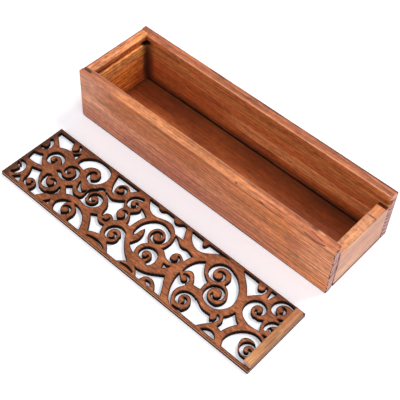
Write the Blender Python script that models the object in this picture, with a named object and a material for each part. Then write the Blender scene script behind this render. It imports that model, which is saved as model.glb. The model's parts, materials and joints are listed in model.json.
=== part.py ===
"""Wooden pencil box with a sliding fretwork lid.

The box is glued up from two side walls, a back end, a lower front end and a bottom board.
The lid is a thin panel cut right through with scrolls, with a pull strip glued on its front edge.
It is laid beside the box, as the photo shows it, and it slides along the box's length.
All sizes are in metres, X runs towards the front end and Z is up.
"""

import bmesh
import bpy
from math import atan2, ceil, cos, hypot, pi, radians, sin
from mathutils import Vector
from mathutils.geometry import delaunay_2d_cdt

# Outer sizes of the closed box
box_length = 0.220
box_width = 0.065
box_height = 0.043

# Boards of the frame and the bottom
side_thickness = 0.0070
end_thickness = 0.0074
bottom_thickness = 0.0025
rebate_depth = 0.0032
glue_line = 0.0003
arris_radius = 0.0009
heel_radius = 0.0022

# Grooves that the lid runs in
lip_height = 0.0040
side_groove_depth = 0.0023
back_groove_depth = 0.0034
lip_corner_radius = 0.0021
cutter_mark_width = 0.0034
cutter_mark_depth = 0.0015

# Lid
panel_thickness = 0.0030
panel_length = 0.219
panel_side_clearance = 0.0006
panel_height_clearance = 0.0004
pull_width = 0.0058
pull_height = 0.0040
pull_side_clearance = 0.0004
pull_arris_radius = 0.0012

# Where the lid lies beside the box
lid_gap = 0.0219
lid_shift = 0.0021

# Derived heights and widths
front_end_bottom = bottom_thickness + glue_line
groove_top = box_height - lip_height
groove_height = panel_thickness + 2 * panel_height_clearance
groove_bottom = groove_top - groove_height
inner_width = box_width - 2 * side_thickness
panel_width = inner_width + 2 * side_groove_depth - 2 * panel_side_clearance
pull_length = inner_width - 2 * pull_side_clearance

# Fretwork drawing, in hundredths of the panel's width, measured from its back near corner.
# The panel's own size in that measure comes first: length, width.
drawing_size_shares = (402.6, 100.0)

# A curl is a saw cut that winds in to an eye: centre along and across, start angle and sweep
# in degrees, start and end radius, how early the radius falls, and widths along the cut.
curl_shares = (
    (37.5, 90.7, 80, -160, 5.8, 7.1, 1.7, (1.5, 3.2, 3.9, 3.6, 1.5)),
    (87.3, 75.4, -65, -220, 11.4, 2.7, 0.7, (3.5, 4.5, 3.4, 2.7, 1.5)),
    (32.0, 58.1, 5, 415, 12.8, 2.2, 0.9, (2.0, 7.1, 4.6, 2.9, 1.6)),
    (61.1, 58.1, -135, 475, 13.0, 0.8, 1.5, (3.6, 4.9, 3.6, 2.5, 1.4)),
    (2.8, 64.7, 85, -150, 14.3, 1.5, 1.1, (4.0, 5.2, 4.6, 4.8, 3.2)),
    (37.1, 13.0, 175, 260, 7.9, 2.9, 0.7, (2.8, 2.7, 2.8, 2.2, 1.0)),
    (66.2, 29.4, 45, -145, 4.9, 12.9, 1.8, (1.5, 3.3, 4.7, 4.6, 3.5)),
    (55.8, 30.9, 150, 350, 12.6, 4.4, 0.5, (4.0, 6.0, 3.2, 2.6, 1.8)),
    (3.6, 19.6, 95, -165, 9.8, 11.2, 1.5, (2.0, 5.7, 7.8, 6.9, 3.0)),
    (95.1, 51.8, 160, 200, 14.5, 1.3, 0.5, (1.5, 4.6, 3.2, 2.2, 1.2)),
    (113.7, 49.2, -125, 465, 14.0, 3.3, 0.6, (4.0, 6.2, 4.0, 2.9, 1.4)),
    (100.2, 14.9, -125, 295, 9.5, 4.3, 0.5, (3.0, 3.0, 2.7, 2.5, 1.6)),
    (127.8, 82.2, -110, 295, 6.3, 3.4, 1.9, (2.0, 4.0, 3.1, 3.1, 2.0)),
    (154.5, 77.5, 70, 370, 12.6, 3.1, 0.5, (5.0, 5.2, 3.7, 3.3, 1.6)),
    (153.6, 55.7, 115, -190, 5.9, 7.7, 0.6, (1.4, 2.9, 3.2, 3.3, 3.4)),
    (145.2, 37.6, 50, -195, 5.4, 1.9, 0.5, (1.4, 2.6, 2.4, 2.0, 1.4)),
    (169.3, 29.2, -110, -235, 9.9, 11.0, 2.0, (1.5, 4.8, 5.2, 5.5, 5.0)),
    (168.3, 26.3, 110, -200, 4.3, 4.9, 0.5, (1.4, 2.4, 2.8, 2.6, 1.6)),
    (209.1, 62.8, 95, -440, 13.5, 3.8, 0.8, (7.0, 3.9, 3.0, 2.9, 1.4)),
    (244.4, 53.5, 75, -205, 5.3, 5.8, 0.5, (1.2, 2.9, 3.1, 3.3, 3.0)),
    (217.0, 33.8, -40, 430, 12.4, 2.6, 1.0, (6.4, 6.9, 4.2, 2.9, 1.6)),
    (271.0, 40.6, 135, -225, 4.9, 6.3, 0.5, (1.4, 2.5, 2.6, 2.9, 3.4)),
    (289.9, 19.0, -95, -240, 6.8, 12.8, 2.0, (2.0, 4.2, 5.0, 4.6, 6.0)),
    (290.0, 17.4, 105, -165, 4.1, 4.8, 0.5, (1.6, 2.4, 2.6, 2.5, 1.6)),
    (331.0, 28.6, 75, -165, 2.3, 9.0, 2.0, (1.4, 2.3, 3.1, 3.4, 2.5)),
    (297.8, 72.2, 45, 465, 16.1, 3.8, 0.7, (4.0, 6.5, 3.9, 2.7, 1.4)),
    (312.6, 50.1, -55, -465, 17.1, 4.7, 0.6, (5.0, 3.9, 3.5, 3.5, 1.4)),
    (361.4, 66.8, -70, -445, 17.0, 2.4, 0.7, (11.0, 7.8, 4.2, 2.9, 1.6)),
    (380.5, 82.9, 40, 230, 18.0, 6.5, 0.5, (3.0, 5.2, 6.1, 5.1, 2.0)),
    (380.4, 83.7, 115, -195, 5.4, 3.5, 0.8, (1.4, 2.6, 2.8, 2.6, 1.6)),
    (389.0, 53.8, 65, 130, 14.5, 6.0, 0.9, (3.0, 5.8, 5.9, 4.6, 3.0)),
    (388.8, 62.0, 225, 115, 4.8, 6.5, 0.5, (1.8, 3.5, 4.0, 3.7, 2.5)),
    (385.5, 19.5, 45, 405, 9.1, 1.4, 1.4, (3.0, 5.2, 4.3, 3.1, 1.4)),
)

# A slit is a cut along a free line: each place gives along, across and the width there.
slit_shares = (
    ((47.2, 48.8, 1.0), (51.0, 49.2, 4.2), (55.0, 47.2, 4.4)),
    ((51.0, 38.2, 1.0), (46.5, 37.4, 3.4), (44.4, 35.4, 4.2)),
    ((11.0, 23.0, 3.0), (6.5, 22.0, 2.5), (3.0, 25.0, 2.0)),
    ((114.0, 67.5, 3.0), (110.5, 66.0, 5.5), (106.0, 61.0, 4.0), (102.0, 56.5, 4.5), (100.8, 52.0, 3.5),
     (102.0, 47.0, 4.0), (102.8, 42.0, 5.0), (101.0, 37.6, 4.5)),
    ((117.0, 66.6, 1.2), (121.0, 64.6, 2.2), (126.0, 62.9, 3.0), (131.0, 62.7, 3.5)),
    ((146.3, 5.3, 1.4), (152.0, 7.3, 2.2), (160.0, 8.4, 2.6), (168.0, 7.4, 2.2), (174.8, 5.0, 1.4)),
    ((203.0, 5.3, 1.2), (208.0, 6.4, 2.0), (213.0, 6.9, 2.2), (218.0, 6.2, 2.0), (223.3, 5.0, 1.2)),
    ((286.5, 5.2, 1.6), (291.0, 4.9, 2.4), (296.5, 5.6, 3.5)),
    ((348.5, 96.8, 1.2), (350.6, 93.5, 3.0), (350.0, 89.0, 4.0), (347.5, 86.8, 4.0)),
)

# A window is the open field between the scrolls, walked round along its edge. Its sides are
# smooth curves, and a place marked 1 is a sharp corner between two of them.
window_shares = (
    ((4.3, 95.6, 1), (29.3, 95.8, 1), (32.5, 89.0), (37.5, 82.4, 1), (30.0, 80.6), (21.6, 76.6, 1),
     (14.0, 83.0), (4.3, 90.0, 1)),
    ((50.6, 88.5, 1), (50.8, 77.3, 1), (42.8, 80.4, 1), (46.5, 85.0)),
    ((59.3, 74.0, 1), (70.8, 72.0, 1), (72.0, 77.5), (76.0, 82.3), (82.0, 85.0), (88.0, 84.6),
     (93.0, 81.0), (95.0, 75.5), (93.5, 70.5), (89.5, 67.3, 1), (88.0, 63.0, 1), (92.0, 62.4),
     (97.0, 64.8), (101.5, 70.0), (104.0, 76.5), (104.0, 83.5), (101.0, 90.0), (96.0, 94.5),
     (88.0, 97.0), (78.0, 97.2), (69.5, 95.0), (63.0, 90.5), (57.8, 84.0), (57.0, 78.5)),
    ((2.8, 50.2, 1), (9.0, 52.2), (15.8, 55.2, 1), (17.6, 51.5), (22.0, 46.3), (27.6, 41.0, 1),
     (18.0, 38.4), (5.8, 38.0, 1), (4.2, 43.0)),
    ((20.5, 31.6, 1), (27.0, 33.6), (34.6, 36.2, 1), (36.0, 31.5), (39.5, 26.0), (44.5, 20.5),
     (49.5, 16.6), (56.0, 15.2), (65.6, 16.0, 1), (61.0, 9.5), (57.6, 3.7, 1), (44.8, 3.6, 1),
     (46.8, 9.0), (46.3, 14.0), (42.5, 18.2), (37.0, 19.7), (32.6, 17.5), (30.8, 13.0, 1),
     (28.0, 12.5, 1), (26.7, 19.0), (24.6, 25.0)),
    ((20.5, 12.0, 1), (14.0, 4.5, 1), (28.0, 3.7, 1), (24.5, 8.5)),
    ((76.0, 12.2, 1), (71.0, 4.6, 1), (79.5, 5.3, 1)),
    ((73.6, 39.8, 1), (80.0, 45.3, 1), (83.5, 41.0), (88.0, 38.2), (95.0, 37.6, 1), (95.0, 36.0, 1),
     (88.0, 34.0), (83.5, 31.0, 1), (79.0, 34.8)),
    ((92.0, 37.6, 1), (99.0, 39.4), (104.0, 43.5, 1), (107.5, 40.2), (113.0, 38.6, 1), (113.0, 35.4, 1),
     (106.0, 36.4), (97.0, 36.2), (91.0, 35.0, 1)),
    ((98.0, 27.4, 1), (91.0, 25.6), (85.0, 20.5), (82.8, 14.5), (85.0, 8.5), (89.5, 3.8, 1),
     (103.0, 4.0, 1), (97.5, 8.8), (94.3, 13.0), (93.3, 18.0), (94.0, 23.0)),
    ((101.0, 27.9, 1), (108.0, 27.9), (115.0, 25.8), (121.5, 22.0), (127.5, 16.0), (131.5, 10.0),
     (134.4, 3.8, 1), (113.5, 3.8, 1), (113.0, 9.0), (113.8, 13.5), (112.5, 19.0), (109.0, 24.0)),
    ((126.5, 31.3, 1), (133.6, 35.6, 1), (138.0, 31.5), (144.0, 29.2), (150.5, 30.5, 1), (151.5, 27.0),
     (153.5, 21.5), (157.0, 17.0, 1), (150.0, 15.0), (143.3, 11.0, 1), (138.0, 18.0), (132.0, 26.0)),
    ((142.3, 73.5, 1), (148.8, 64.3, 1), (147.3, 60.5), (147.2, 56.0), (149.8, 51.5), (154.0, 48.5, 1),
     (158.4, 47.0, 1), (154.0, 42.8, 1), (150.5, 45.3), (146.5, 46.8), (142.0, 45.4), (139.9, 41.5),
     (139.7, 37.8, 1), (137.0, 41.5), (135.0, 46.5), (134.2, 51.0), (131.0, 56.5), (126.0, 61.3, 1),
     (130.0, 64.3), (136.0, 68.0)),
    ((108.3, 96.6, 1), (145.5, 97.0, 1), (142.0, 92.0), (138.6, 87.4, 1), (134.0, 90.2), (129.0, 91.6),
     (124.0, 89.6), (121.0, 85.5), (120.5, 80.5), (122.3, 75.5), (126.6, 71.3, 1), (121.5, 72.6),
     (116.8, 77.5), (113.0, 84.0)),
    ((165.3, 79.6, 1), (171.0, 77.2), (179.3, 73.0, 1), (176.3, 66.0), (175.0, 58.0), (174.5, 50.0, 1),
     (168.5, 50.2, 1), (167.5, 55.0), (165.0, 59.5), (160.5, 65.2, 1), (164.5, 69.5), (167.0, 74.0)),
    ((171.0, 15.2, 1), (175.5, 11.3, 1), (182.5, 4.0, 1), (198.0, 4.0, 1), (202.0, 8.0),
     (207.5, 12.4, 1), (198.0, 18.0), (190.0, 24.5), (184.0, 31.5), (180.5, 35.0, 1), (177.0, 30.5, 1),
     (178.3, 25.5), (177.0, 20.0)),
    ((163.3, 97.0, 1), (177.5, 96.8, 1), (180.0, 94.6), (184.5, 93.6), (188.0, 94.8), (190.5, 97.0, 1),
     (203.0, 97.0, 1), (206.5, 93.0), (211.0, 91.6), (215.5, 93.0), (219.5, 97.0, 1), (224.3, 96.6, 1),
     (228.5, 89.0), (234.0, 79.6, 1), (227.0, 79.3), (221.5, 79.2, 1), (216.5, 83.5), (210.0, 86.8),
     (203.0, 87.2), (196.0, 85.2), (188.5, 82.5), (181.0, 82.3), (174.5, 85.0), (168.5, 90.5)),
    ((185.8, 44.0, 1), (187.6, 48.5), (188.0, 54.0), (190.2, 60.3, 1), (193.5, 54.5), (195.3, 48.0),
     (194.6, 41.0), (191.3, 33.3, 1), (194.5, 30.5), (199.0, 27.8), (204.8, 25.6, 1), (202.3, 31.0),
     (201.5, 37.0), (203.3, 43.0), (207.6, 47.6, 1), (202.5, 51.5), (198.8, 56.5), (197.4, 62.5),
     (199.2, 68.5), (203.5, 72.3), (208.5, 73.0, 1), (209.0, 79.9, 1), (203.0, 81.0), (194.8, 79.3),
     (187.5, 73.3), (182.6, 64.5), (181.6, 54.5), (183.0, 48.5)),
    ((223.4, 78.6, 1), (229.0, 75.8), (235.0, 71.8), (241.0, 70.6), (246.5, 72.3), (252.0, 71.0),
     (258.6, 69.3, 1), (256.6, 64.0), (255.3, 57.6, 1), (251.0, 60.0), (246.0, 62.0), (241.8, 60.3),
     (239.4, 56.0), (240.0, 50.5), (243.6, 45.2, 1), (237.5, 46.8), (232.5, 50.0), (228.0, 52.8),
     (224.3, 53.0, 1), (226.3, 58.0), (227.0, 65.0), (226.0, 72.0)),
    ((239.8, 40.0, 1), (244.5, 39.8), (250.0, 42.2, 1), (247.5, 37.5), (243.4, 33.0, 1), (241.3, 36.5)),
    ((217.3, 13.0, 1), (224.0, 12.9), (232.0, 15.0), (240.0, 19.0), (247.0, 24.0), (253.0, 28.0, 1),
     (257.0, 21.5), (262.5, 13.5), (268.2, 3.8, 1), (259.0, 3.8, 1), (255.5, 9.0), (250.5, 13.0),
     (245.5, 14.3), (240.0, 13.0), (236.5, 9.5), (235.0, 3.8, 1), (229.6, 3.8, 1), (227.0, 6.8),
     (223.0, 10.8)),
    ((240.6, 8.8, 1), (245.0, 9.9), (249.5, 8.0), (251.0, 4.3, 1), (246.5, 4.0, 1)),
    ((233.6, 97.0, 1), (251.5, 96.6, 1), (253.5, 92.3), (256.7, 89.6), (259.8, 91.6), (260.8, 96.6, 1),
     (294.8, 97.3, 1), (286.0, 95.0), (279.0, 93.6), (272.5, 88.6), (266.0, 83.6), (258.0, 80.6),
     (250.5, 81.6), (243.5, 85.5), (238.0, 91.0)),
    ((274.2, 75.6, 1), (277.0, 70.0), (281.5, 64.0), (287.5, 59.3), (295.3, 55.6, 1), (294.0, 49.5),
     (295.0, 42.8, 1), (290.0, 41.8), (284.8, 41.4, 1), (282.0, 46.8), (278.0, 51.3), (273.0, 53.8),
     (268.5, 52.2), (263.6, 46.6, 1), (262.8, 53.0), (264.5, 62.0), (268.5, 70.0)),
    ((262.2, 43.0, 1), (262.8, 37.5), (264.8, 30.0), (267.8, 22.5), (272.5, 14.5), (278.0, 8.0),
     (284.0, 3.6, 1), (280.5, 8.5), (276.3, 14.8), (274.4, 21.0), (275.4, 27.8), (279.0, 34.8, 1),
     (275.5, 37.0), (270.5, 36.6), (266.0, 40.0)),
    ((300.0, 30.8, 1), (305.0, 28.6), (310.0, 26.0), (316.0, 24.6), (325.4, 25.2, 1), (327.2, 21.5),
     (331.0, 19.4, 1), (334.8, 19.6, 1), (331.0, 15.0), (327.0, 10.0), (323.0, 3.8, 1), (295.5, 3.8, 1),
     (299.5, 9.0), (301.3, 15.0), (300.3, 20.5), (297.5, 25.0, 1)),
    ((306.0, 86.8, 1), (312.0, 85.2), (318.5, 81.5), (325.0, 75.3), (330.5, 67.8), (334.4, 59.5),
     (335.6, 51.0), (333.3, 43.5), (328.3, 37.0), (321.5, 33.2), (314.0, 32.6, 1), (315.5, 36.6, 1),
     (321.0, 38.6), (325.3, 44.0), (326.3, 51.0), (323.8, 57.6), (318.5, 63.0), (311.4, 66.2, 1),
     (312.6, 72.0), (311.4, 78.0), (307.0, 82.6, 1)),
    ((314.5, 97.3, 1), (337.6, 97.0, 1), (339.6, 91.6), (343.5, 87.8), (348.0, 89.6, 1),
     (351.5, 86.0, 1), (345.5, 79.5), (339.6, 72.6, 1), (333.5, 79.8), (327.0, 86.3), (320.0, 92.0)),
    ((356.0, 97.3, 1), (363.3, 97.3, 1), (361.8, 91.0), (360.3, 84.3, 1), (357.6, 88.0), (357.0, 92.0)),
    ((379.6, 46.6, 1), (376.5, 51.0), (374.8, 56.0), (373.8, 61.0, 1), (368.5, 57.6), (363.5, 57.4, 1),
     (363.0, 45.3, 1), (371.0, 45.4)),
    ((383.0, 72.4, 1), (391.0, 76.6, 1), (395.0, 73.8), (391.0, 71.0, 1)),
    ((383.5, 45.6, 1), (391.0, 47.5, 1), (394.0, 45.2), (391.0, 43.0, 1)),
    ((361.0, 3.8, 1), (391.0, 3.8), (395.5, 5.0), (394.5, 9.5, 1), (388.0, 10.2), (382.0, 10.4),
     (377.0, 13.5), (373.0, 19.0), (371.4, 25.0), (373.5, 30.0), (379.0, 32.6), (385.0, 32.0),
     (391.0, 28.8), (395.0, 31.0, 1), (391.0, 38.0), (384.0, 41.0), (376.0, 40.4), (368.5, 36.6),
     (362.0, 30.0), (357.6, 21.5), (356.8, 12.0)),
    ((344.3, 46.8, 1), (349.5, 41.6), (357.0, 37.2, 1), (353.2, 31.5), (350.3, 25.0), (348.4, 17.6, 1),
     (341.0, 19.4, 1), (342.0, 24.0), (341.6, 28.5), (338.3, 33.6, 1), (341.8, 39.0)),
    ((329.5, 4.2, 1), (334.0, 9.0), (340.0, 11.2), (346.0, 9.2), (350.3, 4.2, 1)),
)

# How finely curves are drawn
curve_steps = 2
turn_per_step = radians(17)
round_segments = 3
weld_share = 0.12

# Colours of the bare and stained wood
colours = {
    "side_wood": (0.40, 0.15, 0.06, 1.0),
    "end_wood": (0.52, 0.20, 0.07, 1.0),
    "front_wood": (0.62, 0.33, 0.19, 1.0),
    "bottom_wood": (0.34, 0.15, 0.07, 1.0),
    "lid_wood": (0.20, 0.075, 0.035, 1.0),
    "pull_wood": (0.62, 0.31, 0.14, 1.0),
}
wood_roughness = 0.55


def clear_scene():
    """Take away whatever the scene holds."""
    for thing in list(bpy.data.objects):
        bpy.data.objects.remove(thing, do_unlink=True)


def wood(name):
    """Material of one kind of wood in the box."""
    material = bpy.data.materials.new(name)
    material.use_nodes = True
    shader = material.node_tree.nodes["Principled BSDF"]
    shader.inputs["Base Color"].default_value = colours[name]
    shader.inputs["Roughness"].default_value = wood_roughness
    shader.inputs["Metallic"].default_value = 0.0
    return material


def add_piece(name, mesh, material=None, place=(0.0, 0.0, 0.0)):
    """Put a mesh into the scene as a named piece."""
    piece = bpy.data.objects.new(name, mesh)
    piece.location = place
    bpy.context.scene.collection.objects.link(piece)
    if material:
        mesh.materials.append(material)
    return piece


def board(name, low, high, material=None):
    """Rectangular board between two opposite corners, with its origin at its middle."""
    low = Vector(low)
    high = Vector(high)
    size = high - low
    bm = bmesh.new()
    bmesh.ops.create_cube(bm, size=1.0)
    bmesh.ops.scale(bm, vec=size, verts=bm.verts)
    mesh = bpy.data.meshes.new(name)
    bm.to_mesh(mesh)
    bm.free()
    return add_piece(name, mesh, material, (low + high) / 2)


def settle(piece):
    """Turn a piece's modifiers into its own mesh and join flat neighbouring faces."""
    graph = bpy.context.evaluated_depsgraph_get()
    bm = bmesh.new()
    bm.from_object(piece, graph)
    bmesh.ops.dissolve_limit(bm, angle_limit=radians(1), verts=bm.verts, edges=bm.edges)
    piece.modifiers.clear()
    bm.to_mesh(piece.data)
    bm.free()


def cut(piece, cutter):
    """Take the cutter's shape out of the piece."""
    modifier = piece.modifiers.new("cut", "BOOLEAN")
    modifier.operation = "DIFFERENCE"
    modifier.solver = "EXACT"
    modifier.object = cutter
    bpy.context.view_layer.update()
    settle(piece)
    bpy.data.objects.remove(cutter, do_unlink=True)


def lies_on(edge, origin, planes):
    """True where both ends of an edge lie on each plane, given as axis and world place."""
    reach = weld_share * glue_line
    return all(abs(vert.co[axis] + origin[axis] - place) < reach
               for vert in edge.verts for axis, place in planes)


def round_edges(piece, radius, lines):
    """Round every edge that lies on one of the lines, each the meeting of two planes."""
    bm = bmesh.new()
    bm.from_mesh(piece.data)
    chosen = [edge for edge in bm.edges
              if any(lies_on(edge, piece.location, line) for line in lines)]
    bmesh.ops.bevel(bm, geom=chosen, offset=radius, offset_type="OFFSET", segments=round_segments,
                    profile=0.5, affect="EDGES", clamp_overlap=True)
    bm.to_mesh(piece.data)
    bm.free()


def shade_round(piece):
    """Shade the rounded arrises smooth and keep the flat faces crisp."""
    piece.data.shade_smooth()
    piece.data.set_sharp_from_angle(angle=radians(35))


def side_wall(name, side, material):
    """Side wall of the box, with the lid's groove and the rebate for the back end.

    side is -1 for the near wall and 1 for the far one.
    """
    back = -box_length / 2
    front = box_length / 2
    outer = side * box_width / 2
    inner = side * inner_width / 2
    span = sorted((outer, inner))
    wall = board(name, (back, span[0], 0.0), (front, span[1], box_height), material)
    past = side_thickness
    groove_floor = inner + side * side_groove_depth
    span = sorted((inner - side * past, groove_floor))
    cut(wall, board("groove", (back - past, span[0], groove_bottom), (front + past, span[1], groove_top)))
    rebate_floor = inner + side * rebate_depth
    span = sorted((inner - side * past, rebate_floor))
    cut(wall, board("rebate", (back - past, span[0], -past),
                    (back + end_thickness + glue_line, span[1], box_height + past)))
    round_edges(wall, lip_corner_radius, [((0, front), (1, inner))])
    round_edges(wall, heel_radius, [((0, back), (2, 0.0))])
    round_edges(wall, arris_radius, [((1, outer), (2, box_height)), ((0, front), (1, outer)),
                                     ((0, back), (1, outer)), ((0, front), (2, box_height))])
    shade_round(wall)
    return wall


def back_end(material):
    """Back end, let into the side walls' rebates, with a groove for the lid's back edge."""
    back = -box_length / 2
    face = back + end_thickness
    half = inner_width / 2 + rebate_depth - glue_line
    end = board("back_end", (back, -half, 0.0), (face, half, box_height), material)
    past = side_thickness
    cut(end, board("groove", (face - back_groove_depth, -half - past, groove_bottom),
                   (face + past, half + past, groove_top)))
    round_edges(end, heel_radius, [((0, back), (2, 0.0))])
    round_edges(end, arris_radius, [((0, back), (2, box_height))])
    shade_round(end)
    return end


def front_end(material):
    """Lower front end between the side walls, with the cutter's mark where the groove ran out."""
    front = box_length / 2
    face = front - end_thickness
    half = inner_width / 2 - glue_line
    top = groove_bottom
    end = board("front_end", (face, -half, front_end_bottom), (front, half, top), material)
    past = side_thickness
    cut(end, board("mark", (face - past, half - cutter_mark_width, top - cutter_mark_depth),
                   (front + past, half + past, top + past)))
    return end


def bottom_board(material):
    """Bottom board between the side walls, from the back end out under the front end."""
    back = -box_length / 2 + end_thickness + glue_line
    half = inner_width / 2 - glue_line
    return board("bottom_board", (back, -half, 0.0), (box_length / 2, half, bottom_thickness), material)


def anticlockwise(edge):
    """The same closed edge, walked round anticlockwise."""
    area = sum(a.x * b.y - b.x * a.y for a, b in zip(edge, edge[1:] + edge[:1]))
    return edge if area > 0 else edge[::-1]


def curve_between(before, start, end, after, steps):
    """Places on a smooth curve from start up to, not including, end."""
    first = hypot(*(start - before)[:2]) ** 0.5
    middle = hypot(*(end - start)[:2]) ** 0.5
    last = hypot(*(after - end)[:2]) ** 0.5
    leave = end - start
    reach = end - start
    if first > 0:
        leave = middle * ((start - before) / first - (end - before) / (first + middle) + (end - start) / middle)
    if last > 0:
        reach = middle * ((end - start) / middle - (after - start) / (middle + last) + (after - end) / last)
    places = []
    for step in range(steps):
        t = step / steps
        places.append((2 * t ** 3 - 3 * t ** 2 + 1) * start + (t ** 3 - 2 * t ** 2 + t) * leave
                      + (3 * t ** 2 - 2 * t ** 3) * end + (t ** 3 - t ** 2) * reach)
    return places


def turn_between(first, second):
    """Angle between two directions, nothing where one of them has no length."""
    if first.length == 0 or second.length == 0:
        return 0.0
    gap = atan2(first.y, first.x) - atan2(second.y, second.x)
    return abs((gap + pi) % (2 * pi) - pi)


def steps_for(before, start, end, after):
    """Number of steps that draws one stretch of a curve smoothly."""
    way = end - start
    turn = turn_between(start - before, way) + turn_between(way, after - end)
    return max(1, ceil(turn / 2 / turn_per_step))


def window_edge(window):
    """Closed edge of a window."""
    places = [Vector((place[0], place[1], 0.0)) for place in window]
    sharp = [len(place) == 3 for place in window]
    count = len(places)
    edge = []
    for i, start in enumerate(places):
        following = (i + 1) % count
        end = places[following]
        before = start if sharp[i] else places[i - 1]
        after = end if sharp[following] else places[(i + 2) % count]
        edge += curve_between(before, start, end, after, steps_for(before, start, end, after))
    return edge


def cut_edge(line):
    """Closed edge of a saw cut along a line of places, each with the cut's width as its Z."""
    left = []
    right = []
    for i, place in enumerate(line):
        way = line[min(i + 1, len(line) - 1)] - line[max(i - 1, 0)]
        across = Vector((-way.y, way.x, 0.0)).normalized() * place.z / 2
        centre = Vector((place.x, place.y, 0.0))
        left.append(centre + across)
        right.append(centre - across)
    tips = []
    for end, inward in ((0, 1), (-1, -2)):
        way = line[end] - line[inward]
        way.z = 0.0
        tips.append(Vector((line[end].x, line[end].y, 0.0)) + way.normalized() * line[end].z / 3)
    return left + [tips[1]] + right[::-1] + [tips[0]]


def curl_edge(curl):
    """Closed edge of a curl."""
    along, across, start, sweep, first_radius, last_radius, fall, widths = curl
    steps = ceil(abs(radians(sweep)) / turn_per_step)
    line = []
    for step in range(steps + 1):
        t = step / steps
        radius = first_radius + (last_radius - first_radius) * t ** fall
        angle = radians(start + sweep * t)
        place = t * (len(widths) - 1)
        low = min(int(place), len(widths) - 2)
        width = widths[low] + (widths[low + 1] - widths[low]) * (place - low)
        line.append(Vector((along + radius * cos(angle), across + radius * sin(angle), width)))
    return cut_edge(line)


def slit_edge(slit):
    """Closed edge of a slit."""
    places = [Vector(place) for place in slit]
    line = []
    for i in range(len(places) - 1):
        before = places[max(i - 1, 0)]
        after = places[min(i + 2, len(places) - 1)]
        line += curve_between(before, places[i], places[i + 1], after, curve_steps)
    line.append(places[-1])
    return cut_edge(line)


def fretwork_panel(material):
    """Lid panel, cut right through along every edge of the drawing.

    The edges are laid over each other flat, and what lies in no opening is raised to a plate.
    """
    length_share, width_share = drawing_size_shares
    edges = [window_edge(window) for window in window_shares]
    edges += [curl_edge(curl) for curl in curl_shares]
    edges += [slit_edge(slit) for slit in slit_shares]
    outline = [Vector((0, 0, 0)), Vector((length_share, 0, 0)),
               Vector((length_share, width_share, 0)), Vector((0, width_share, 0))]
    places = []
    faces = []
    for edge in [outline] + edges:
        faces.append(list(range(len(places), len(places) + len(edge))))
        places += [place.to_2d() for place in anticlockwise(edge)]
    flat, _, triangles, _, _, sources = delaunay_2d_cdt(places, [], faces, 0, weld_share)
    bm = bmesh.new()
    corners = [bm.verts.new((place.x / length_share * panel_length,
                             (place.y / width_share - 1 / 2) * panel_width, 0.0)) for place in flat]
    for triangle, source in zip(triangles, sources):
        if source == [0]:
            bm.faces.new([corners[i] for i in triangle])
    loose = [vert for vert in bm.verts if not vert.link_faces]
    bmesh.ops.delete(bm, geom=loose, context="VERTS")
    bmesh.ops.recalc_face_normals(bm, faces=bm.faces)
    if bm.faces[:][0].normal.z < 0:
        bmesh.ops.reverse_faces(bm, faces=bm.faces)
    lower = bm.faces[:]
    raised = bmesh.ops.extrude_face_region(bm, geom=lower)
    upper = [item for item in raised["geom"] if isinstance(item, bmesh.types.BMVert)]
    bmesh.ops.translate(bm, vec=(0.0, 0.0, panel_thickness), verts=upper)
    bmesh.ops.recalc_face_normals(bm, faces=bm.faces)
    mesh = bpy.data.meshes.new("lid_fretwork_panel")
    bm.to_mesh(mesh)
    bm.free()
    return add_piece("lid_fretwork_panel", mesh, material)


def pull_strip(material):
    """Pull strip on the panel's front edge, with rounded top arrises and corners."""
    low = panel_thickness + glue_line
    high = low + pull_height
    front = panel_length
    back = front - pull_width
    half = pull_length / 2
    strip = board("lid_pull_strip", (back, -half, low), (front, half, high), material)
    lines = [((2, high), (0, back)), ((2, high), (0, front)), ((2, high), (1, half)), ((2, high), (1, -half))]
    lines += [((0, x), (1, y)) for x in (back, front) for y in (-half, half)]
    round_edges(strip, pull_arris_radius, lines)
    shade_round(strip)
    return strip


def main():
    """Build the box and lay its lid beside it."""
    clear_scene()
    side_wood = wood("side_wood")
    side_wall("side_wall_near", -1, side_wood)
    side_wall("side_wall_far", 1, side_wood)
    back_end(wood("end_wood"))
    front_end(wood("front_wood"))
    bottom_board(wood("bottom_wood"))

    # The lid slides along X, so its axis empty sits at the panel's back edge on the rest plane.
    lid_axis = bpy.data.objects.new("lid_slide_axis", None)
    lid_axis.location = (lid_shift - box_length / 2, -box_width / 2 - lid_gap - panel_width / 2, 0.0)
    bpy.context.scene.collection.objects.link(lid_axis)
    for piece in (fretwork_panel(wood("lid_wood")), pull_strip(wood("pull_wood"))):
        piece.parent = lid_axis


main()
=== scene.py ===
import json
import math

import bmesh
import bpy
from bpy.props import FloatProperty, FloatVectorProperty, IntProperty, PointerProperty
from mathutils import Matrix, Vector, noise
from mathutils.geometry import delaunay_2d_cdt


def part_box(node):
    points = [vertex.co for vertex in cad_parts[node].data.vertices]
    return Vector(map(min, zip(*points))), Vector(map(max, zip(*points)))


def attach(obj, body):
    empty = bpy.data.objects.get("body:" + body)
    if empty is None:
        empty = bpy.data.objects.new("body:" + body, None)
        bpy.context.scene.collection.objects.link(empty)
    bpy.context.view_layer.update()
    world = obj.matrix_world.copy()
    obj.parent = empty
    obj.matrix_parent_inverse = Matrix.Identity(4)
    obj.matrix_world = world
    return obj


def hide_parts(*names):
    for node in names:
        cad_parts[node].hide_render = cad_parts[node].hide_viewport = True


bl_info = {
    "name": "Wooden Pencil Box",
    "version": (1, 0, 0),
    "blender": (4, 5, 0),
    "location": "3D View > Sidebar > Pencil Box",
    "description": "Finishes a stained wooden pencil box and its scrolled sliding lid",
    "category": "Object",
}

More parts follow.
